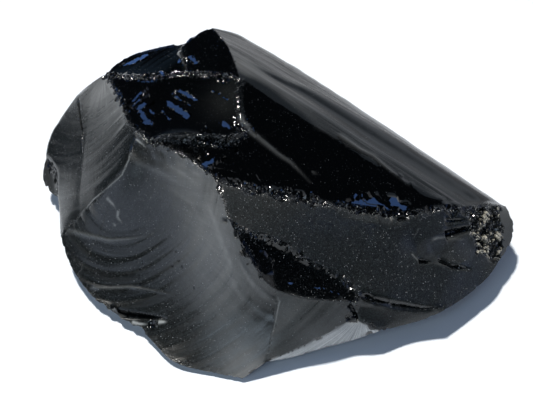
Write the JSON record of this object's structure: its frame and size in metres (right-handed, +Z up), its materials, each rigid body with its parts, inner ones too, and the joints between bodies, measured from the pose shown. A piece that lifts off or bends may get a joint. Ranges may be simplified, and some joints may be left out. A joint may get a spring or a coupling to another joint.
{
  "type": "obsidian chunk",
  "caption": "Palm-sized chunk of black volcanic glass with shell-shaped fracture scars, a long rounded edge, sharp ridges and a flat face it rests on.",
  "frame": {"origin": "middle of the chunk's bounding box, on the plane of the face it rests on", "axes": "+Z up, +X along the chunk's length towards its thin crusted tip, -Y towards the large matte scar"},
  "size_m": [0.1119, 0.0844, 0.0354],
  "materials": {
    "obsidian": "glassy where freshly broken, frosted on the weathered scars"
  },
  "bodies": {
    "root": {"obsidian_chunk": "obsidian"}
  },
  "joints": []
}
